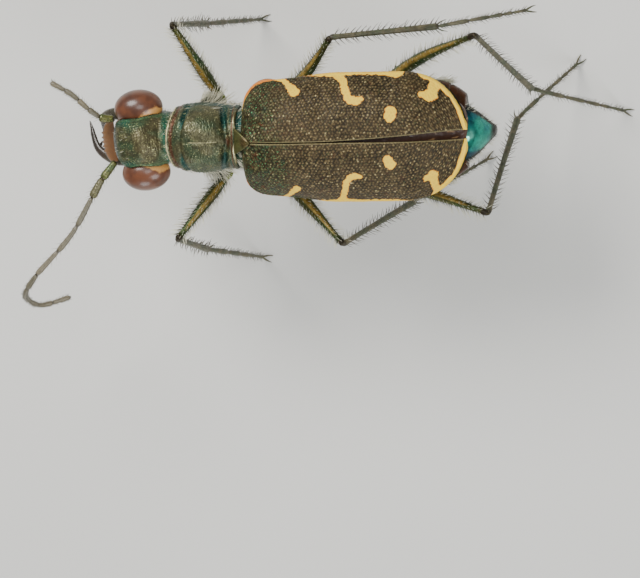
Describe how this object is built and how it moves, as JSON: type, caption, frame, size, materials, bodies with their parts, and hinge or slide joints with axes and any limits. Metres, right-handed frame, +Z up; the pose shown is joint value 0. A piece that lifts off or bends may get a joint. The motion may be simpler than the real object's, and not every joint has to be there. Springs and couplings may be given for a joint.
{
  "type": "tiger beetle",
  "caption": "Life-size tiger beetle, standing with one middle leg lifted back, with bulging eyes, sickle jaws, long thin legs and dark wing cases with cream markings.",
  "frame": {"origin": "on the floor that the feet stand on, under the middle of the model's overall box", "axes": "-X towards the head, +X towards the tail, +Y to the beetle's right side, +Z up; the longest extent runs along X"},
  "size_m": [0.0128, 0.0066, 0.0057],
  "materials": {
    "bronze_cuticle": "dark bronze-green metallic cuticle, finely pitted, with teal edges",
    "elytra": "dark brown pitted wing case with green glints and cream-orange markings",
    "eye": "glossy red-brown faceted eye",
    "labrum": "amber-brown lip plate",
    "mandible": "glossy bronze-brown jaw, darker at the tip",
    "palp": "orange palp with a green metallic end",
    "antenna": "grey-brown with short bristles",
    "antenna_base": "metallic green",
    "coxa": "dark green metallic with white hair",
    "femur": "olive bronze with golden streaks and combs of white bristles",
    "tibia": "grey-brown with a green sheen and rows of bristles",
    "belly": "metallic green-blue under white hair",
    "pygidium": "shining blue-green metallic"
  },
  "bodies": {
    "root": {"head": "bronze_cuticle", "labrum": "labrum", "mandible_left": "mandible", "mandible_right": "mandible", "eye_left": "eye", "eye_right": "eye", "maxillary_palp_left": "palp", "maxillary_palp_right": "palp", "labial_palp_left": "palp", "labial_palp_right": "palp", "antenna_left_scape": "antenna_base", "antenna_left_middle": "antenna_base", "antenna_left_tip": "antenna", "antenna_right_scape": "antenna_base", "antenna_right_middle": "antenna_base", "antenna_right_tip": "antenna", "prothorax": "bronze_cuticle", "thorax": "belly", "scutellum": "bronze_cuticle", "elytron_left": "elytra", "elytron_right": "elytra", "abdomen": "belly", "pygidium": "pygidium", "coxa_fore_left": "coxa", "coxa_fore_right": "coxa", "coxa_middle_left": "coxa", "coxa_middle_right": "coxa", "coxa_hind_left": "coxa", "coxa_hind_right": "coxa", "femur_fore_left": "femur", "femur_fore_right": "femur", "femur_middle_left": "femur", "femur_middle_right": "femur", "femur_hind_left": "femur", "femur_hind_right": "femur", "tibia_fore_left": "tibia", "tibia_fore_right": "tibia", "tibia_middle_left": "tibia", "tibia_middle_right": "tibia", "tibia_hind_left": "tibia", "tibia_hind_right": "tibia", "tarsus_fore_left": "tibia", "tarsus_fore_right": "tibia", "tarsus_middle_left": "tibia", "tarsus_middle_right": "tibia", "tarsus_hind_left": "tibia", "tarsus_hind_right": "tibia"}
  },
  "joints": []
}
